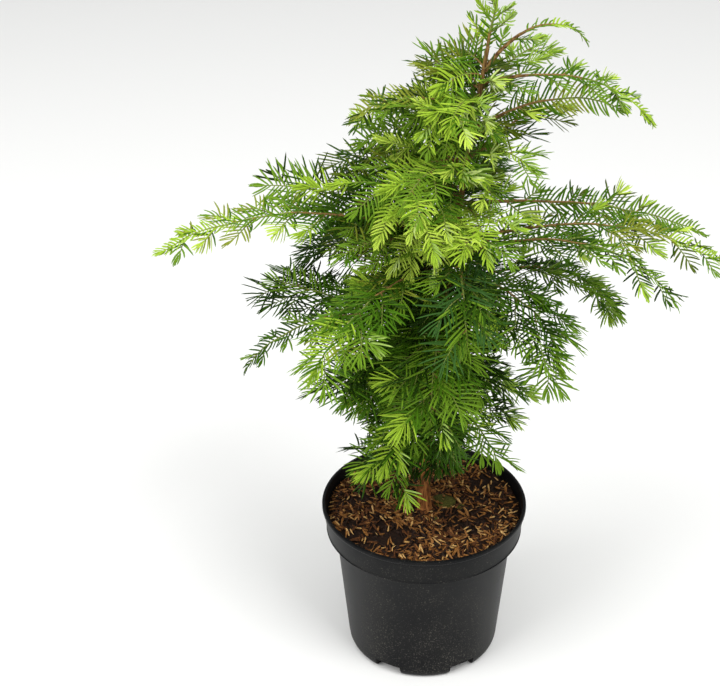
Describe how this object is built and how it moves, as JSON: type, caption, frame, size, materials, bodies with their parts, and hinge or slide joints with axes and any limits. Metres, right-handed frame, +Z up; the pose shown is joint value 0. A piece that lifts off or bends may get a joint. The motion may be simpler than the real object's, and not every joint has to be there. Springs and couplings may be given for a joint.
{
  "type": "potted dawn redwood",
  "caption": "Young conifer in a round black nursery pot: a slender leaning trunk, spreading and drooping boughs, and flat feathery sprays of long soft needles with lime tips.",
  "frame": {"origin": "middle of the pot's flat underside, where the plant stands", "axes": "+Z up, -Y to the plant's front, +X to its right as seen from the front"},
  "size_m": [0.4757, 0.3172, 0.6128],
  "materials": {
    "pot_plastic": "black moulded polypropylene, semi-matt, faintly dusty",
    "compost": "near-black moist compost with tan bark and coir chips, rough",
    "bark": "fibrous red-brown bark, rough",
    "needles_dark": "dark green older needles, soft satin",
    "needles_blue": "dark bluish green needles, soft satin",
    "needles_mid": "mid green needles, soft satin",
    "needles_olive": "olive to yellow-green needles, soft satin",
    "needles_new": "lime green new growth, soft satin"
  },
  "bodies": {
    "root": {"compost": "compost", "crest_back_foliage": "needles_new", "crest_front_foliage": "needles_new", "crest_left_foliage": "needles_dark", "front_blue_bough": "bark", "front_blue_foliage": "needles_blue", "front_fan_foliage": "needles_mid", "front_olive_bough": "bark", "front_olive_foliage": "needles_olive", "front_tufts_foliage": "needles_new", "leader_foliage": "needles_new", "left_droop_bough": "bark", "left_droop_foliage": "needles_mid", "left_feather_bough": "bark", "left_feather_foliage": "needles_dark", "left_front_bough": "bark", "left_front_foliage": "needles_mid", "left_long_bough": "bark", "left_long_foliage": "needles_olive", "left_low_back_bough": "bark", "left_low_back_foliage": "needles_dark", "left_low_foliage": "needles_dark", "low_back_foliage": "needles_dark", "low_right_foliage": "needles_dark", "mid_back_bough": "bark", "mid_back_foliage": "needles_dark", "mid_back_left_bough": "bark", "mid_back_left_foliage": "needles_dark", "mid_back_right_bough": "bark", "mid_back_right_foliage": "needles_mid", "pot": "pot_plastic", "right_comb_bough": "bark", "right_comb_foliage": "needles_mid", "right_droop_bough": "bark", "right_droop_foliage": "needles_mid", "right_long_bough": "bark", "right_long_foliage": "needles_mid", "right_low_bough": "bark", "right_low_foliage": "needles_mid", "right_main_bough": "bark", "right_main_foliage": "needles_mid", "skirt_back_left_foliage": "needles_mid", "skirt_back_right_foliage": "needles_mid", "skirt_front_foliage": "needles_dark", "skirt_left_foliage": "needles_mid", "skirt_right_foliage": "needles_new", "top_curl_bough": "bark", "top_curl_foliage": "needles_new", "top_left_foliage": "needles_dark", "top_right_bough": "bark", "top_right_foliage": "needles_new", "trunk": "bark", "upper_back_foliage": "needles_mid", "upper_front_left_foliage": "needles_new", "upper_front_right_foliage": "needles_new", "upper_left_back_bough": "bark", "upper_left_back_foliage": "needles_dark", "upper_right_back_bough": "bark", "upper_right_back_foliage": "needles_dark"}
  },
  "joints": []
}
